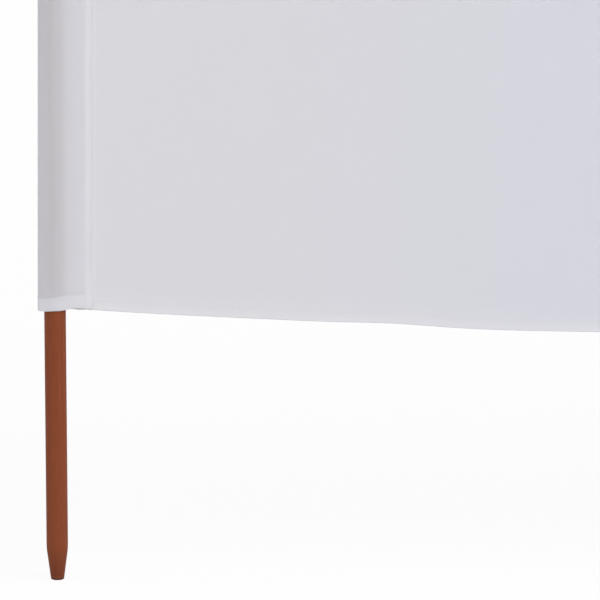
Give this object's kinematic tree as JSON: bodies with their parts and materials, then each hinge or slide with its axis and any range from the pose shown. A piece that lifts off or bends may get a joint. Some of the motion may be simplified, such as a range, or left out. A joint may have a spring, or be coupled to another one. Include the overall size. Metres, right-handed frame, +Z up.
{
  "type": "beach windbreak",
  "caption": "Row of white cloth bays with hemmed edges, hung between pointed wooden poles that stand in sewn cloth pockets, pushed into sand as a low windscreen.",
  "frame": {"origin": "centre of the blunt flat end of the middle pole, the fourth from the left", "axes": "+X along the row, from the pictured left end to the right end; +Z up along the poles; the cloth bellies to +Y, and the picture looks along +Y"},
  "size_m": [8.0196, 0.0447, 1.108],
  "materials": {
    "pole_wood": "stained and lightly varnished, satin",
    "cloth": "plain woven polyester, matt with a slight sheen"
  },
  "bodies": {
    "root": {"pole_1": "pole_wood", "pole_2": "pole_wood", "pole_3": "pole_wood", "pole_4": "pole_wood", "pole_5": "pole_wood", "pole_6": "pole_wood", "pole_7": "pole_wood", "pole_pocket_1": "cloth", "pole_pocket_2": "cloth", "pole_pocket_3": "cloth", "pole_pocket_4": "cloth", "pole_pocket_5": "cloth", "pole_pocket_6": "cloth", "pole_pocket_7": "cloth", "cloth_panel_1": "cloth", "cloth_panel_2": "cloth", "cloth_panel_3": "cloth", "cloth_panel_4": "cloth", "cloth_panel_5": "cloth", "cloth_panel_6": "cloth"}
  },
  "joints": []
}
